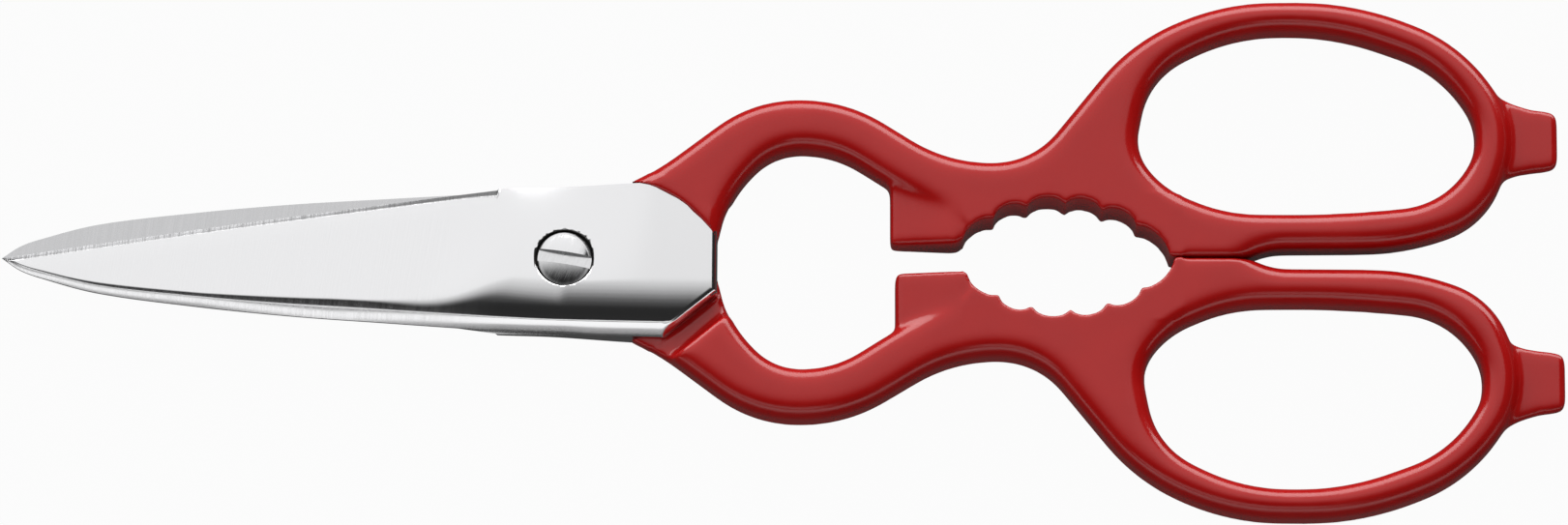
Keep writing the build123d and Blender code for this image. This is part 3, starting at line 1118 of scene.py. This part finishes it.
@dataclass
class Studio:
    """Floor, lamps, surroundings and camera.

    The room gives dull surfaces the fill, and glossy ones mirror it dim. The floor is mirrored at the first
    of its two shades within the shade radius, and at the second from three times that radius: a painted
    shadow round the shears that only reflections see.
    """

    softboxes: tuple[Softbox, ...] = (
        Softbox("broad_box", 12.0, 52.0, 1.0),
        Softbox("broad_box_edge_a", 8.0, 12.0, 0.82),
        Softbox("broad_box_edge_b", 3.5, 8.0, 0.7),
        Softbox("broad_box_edge_c", -1.0, 3.5, 0.56),
        Softbox("broad_box_edge_d", -5.5, -1.0, 0.4),
        Softbox("broad_box_edge_e", -10.0, -5.5, 0.23),
        Softbox("broad_box_edge_f", -14.5, -10.0, 0.1),
        Softbox("broad_box_edge_g", -19.0, -14.5, 0.04),
        Softbox("back_strip", 53.0, 89.0, 4.6, -50.0, 50.0),
        Softbox("front_strip", -82.0, -64.0, 1.15, -70.0, 70.0),
        Softbox("front_strip_edge", -89.0, -82.0, 0.4, -70.0, 70.0),
        Softbox("front_patch", -58.0, -44.0, 1.0, -40.0, 10.0),
    )
    fill: float = 0.14
    dim: float = 0.022
    floor_size: float = 6.0
    floor_color: Color = (0.15, 0.15, 0.15, 1.0)
    floor_glow_share: float = 0.965
    floor_shades: Pair = (0.06, 0.9)
    shade_radius: float = 0.16
    pixel: float = 0.12369 * MM
    tilt_degrees: float = 12.4
    distance: float = 1.5
    sensor: float = 36.0
    clip: Pair = (0.01, 50.0)
    aim: Vector = field(default_factory=lambda: Vector((0.18 * MM, 0.0, 4.0 * MM)))

    def build(self) -> None:
        """Set up everything around the shears."""
        self.camera()
        self.floor()
        self.lamps()
        self.surroundings()
        bpy.context.scene.view_settings.view_transform = "Standard"

    def camera(self) -> None:
        """Place a long lens above the shears, tilted a little towards their lower handle."""
        data = bpy.data.cameras.new("camera")
        data.sensor_fit = "HORIZONTAL"
        data.sensor_width = self.sensor
        width = IMAGE_SIZE[0] * self.pixel
        data.lens = self.sensor * self.distance / width
        data.clip_start, data.clip_end = self.clip
        tilt = math.radians(self.tilt_degrees)
        camera = bpy.data.objects.new("camera", data)
        camera.location = self.aim + Vector((0.0, -math.sin(tilt), math.cos(tilt))) * self.distance
        camera.rotation_euler = (tilt, 0.0, 0.0)
        bpy.context.scene.collection.objects.link(camera)
        bpy.context.scene.camera = camera

    def floor(self) -> None:
        """Lay a table under the shears, which the camera sees glow white with a faint shadow; reflections
        see its glow dim near the shears, a painted shadow.
        """
        shape = bmesh.new()
        bmesh.ops.create_grid(shape, x_segments=1, y_segments=1, size=self.floor_size / 2)
        table = shown("table", shape)
        material = bpy.data.materials.new("white_table")
        material.use_nodes = True
        graph = Graph(material.node_tree)
        out = graph.add("ShaderNodeOutputMaterial")
        diffuse = graph.add("ShaderNodeBsdfDiffuse")
        diffuse.inputs["Color"].default_value = self.floor_color
        glow = graph.add("ShaderNodeEmission")
        glow.inputs["Color"].default_value = WHITE
        path = graph.add("ShaderNodeLightPath")
        coords = graph.add("ShaderNodeTexCoord")
        apart = graph.add("ShaderNodeVectorMath", operation="LENGTH")
        graph.join(coords.outputs["Object"], apart.inputs[0])
        # Painted shadow: the glow that reflections see falls towards the shears and is darkest within the
        # shade radius.
        reach = (self.shade_radius, 3 * self.shade_radius)
        shade = graph.ramp(apart.outputs["Value"], *reach, *self.floor_shades)
        mirrored = graph.math("MAXIMUM", path.outputs["Is Glossy Ray"], path.outputs["Is Transmission Ray"])
        direct = graph.math("MULTIPLY", path.outputs["Is Camera Ray"], self.floor_glow_share)
        mix = graph.add("ShaderNodeMixShader")
        graph.join(graph.math("MAXIMUM", direct, mirrored), mix.inputs[0])
        seen = graph.math("MULTIPLY", mirrored, shade)
        graph.join(graph.math("ADD", path.outputs["Is Camera Ray"], seen), glow.inputs["Strength"])
        graph.join(diffuse.outputs[0], mix.inputs[1])
        graph.join(glow.outputs[0], mix.inputs[2])
        graph.join(mix.outputs[0], out.inputs["Surface"])
        table.data.materials.append(material)

    def lamp(self, box: Softbox, place: Triple, size: Pair, middle: float) -> None:
        """Hang a soft lamp that faces the shears.

        Args:
            box: The softbox that it stands for.
            place: Its centre.
            size: Its width and height.
            middle: Its angle from straight up, towards +Y.
        """
        data = bpy.data.lights.new(box.name, "AREA")
        data.shape = "RECTANGLE"
        data.size, data.size_y = size
        data.energy = box.glow * math.pi * size[0] * size[1]
        lamp = bpy.data.objects.new(box.name, data)
        lamp.location = place
        lamp.rotation_euler = (-middle, 0.0, 0.0)
        lamp.visible_camera = False
        bpy.context.scene.collection.objects.link(lamp)

    def lamps(self) -> None:
        """Hang every softbox, turned about X to face the shears."""
        for box in self.softboxes:
            middle = math.radians((box.low_degrees + box.high_degrees) / 2)
            spread = math.radians(box.high_degrees - box.low_degrees)
            left = box.distance * math.tan(math.radians(box.left_degrees))
            right = box.distance * math.tan(math.radians(box.right_degrees))
            up, back = math.cos(middle) * box.distance, math.sin(middle) * box.distance
            place = ((left + right) / 2, back, up)
            height = 2 * box.distance * math.tan(spread / 2)
            self.lamp(box, place, (right - left, height), middle)

    def surroundings(self) -> None:
        """Leave the room dim for the polished steel to mirror, with a soft fill on the rest."""
        world = bpy.data.worlds.new("room")
        bpy.context.scene.world = world
        world.use_nodes = True
        graph = Graph(world.node_tree)
        out = graph.add("ShaderNodeOutputWorld")
        back = graph.add("ShaderNodeBackground")
        back.inputs["Color"].default_value = WHITE
        path = graph.add("ShaderNodeLightPath")
        fill = graph.ramp(path.outputs["Is Glossy Ray"], 0.0, 1.0, self.fill, self.dim)
        graph.join(graph.math("MAXIMUM", fill, path.outputs["Is Camera Ray"]), back.inputs["Strength"])
        graph.join(back.outputs[0], out.inputs["Surface"])


def main() -> None:
    """Build the shears and the studio around them."""
    logging.basicConfig(level=logging.INFO, format="%(message)s")
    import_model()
    steels = [finish().build() for finish in (GroundSteel, GroundEdge, InnerSteel, PaintedShadeBoreSteel)]
    red = RedCoating().build()
    screw = ScratchedSteel().build()
    pieces = [
        ForgedHalf("front_half", Body.FRONT, False, LEAN_DEGREES, FRONT_BORE).build(*steels),
        ForgedHalf("back_half", Body.BACK, True, -LEAN_DEGREES, BACK_BORE).build(*steels),
        HandleCoating("front_coating", "front_half", Body.FRONT, 1.0).build(red),
        HandleCoating("back_coating", "back_half", Body.BACK, -1.0, MISMATCH).build(red),
        PivotScrew().build(screw),
    ]
    for piece in pieces:
        LOG.info("%s: %d faces", piece.name, len(piece.data.polygons))
    Studio().build()


if __name__ == "__main__":
    main()
